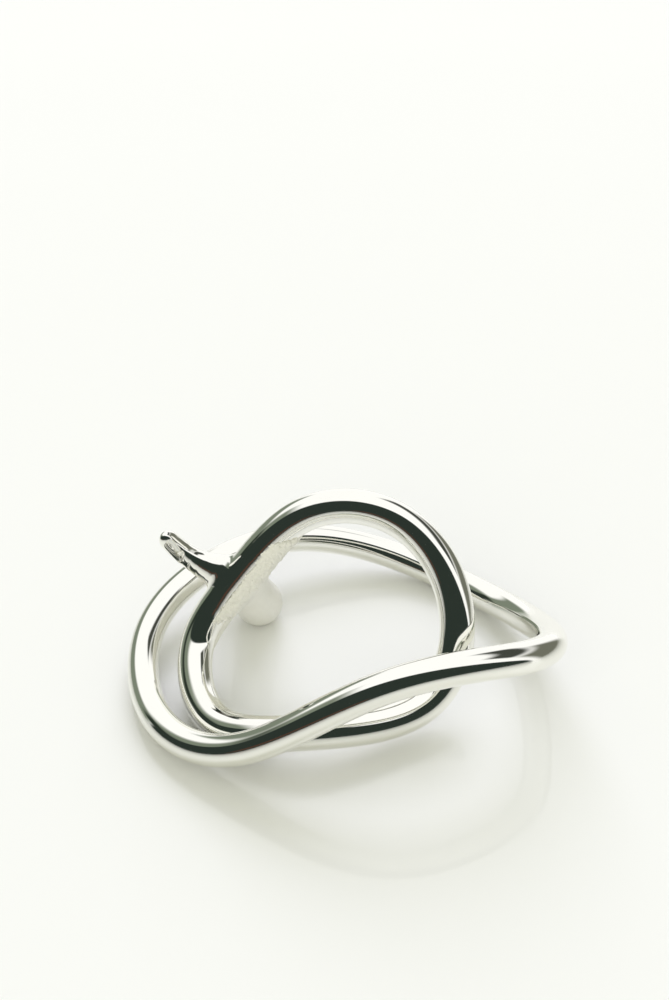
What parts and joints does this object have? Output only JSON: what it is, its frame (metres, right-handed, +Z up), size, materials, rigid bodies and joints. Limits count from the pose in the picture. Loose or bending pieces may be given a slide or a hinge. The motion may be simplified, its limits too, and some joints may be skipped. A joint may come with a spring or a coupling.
{
  "type": "wire disentanglement puzzle",
  "caption": "Polished bent-rod puzzle: a leaning hoop with a brazed horn and ball foot, nested through a larger wavy loop that lies on the table.",
  "frame": {"origin": "point on the table under the puzzle, in front of the middle of the leaning hoop", "axes": "+X along the loop's longer side, +Y from the hoop's front arc back to the ball foot, +Z up from the table"},
  "size_m": [0.0494, 0.0421, 0.022],
  "materials": {
    "polished_rod": "mirror polished",
    "frosted_metal": "bead-blasted, pale and matt",
    "braze": "rough, granular as-brazed metal"
  },
  "bodies": {
    "loop": {"loop_bar": "polished_rod"},
    "hoop": {"hoop_bar": "polished_rod", "catch_horn": "polished_rod", "foot_stub": "frosted_metal", "braze_bead": "braze"}
  },
  "joints": [
    {"name": "hoop_tilt", "type": "hinge", "parent": "loop", "child": "hoop", "pos_m": [-0.0045, -0.0038, 0.0035], "axis": [1, 0, 0], "range_deg": [0, 42]}
  ]
}
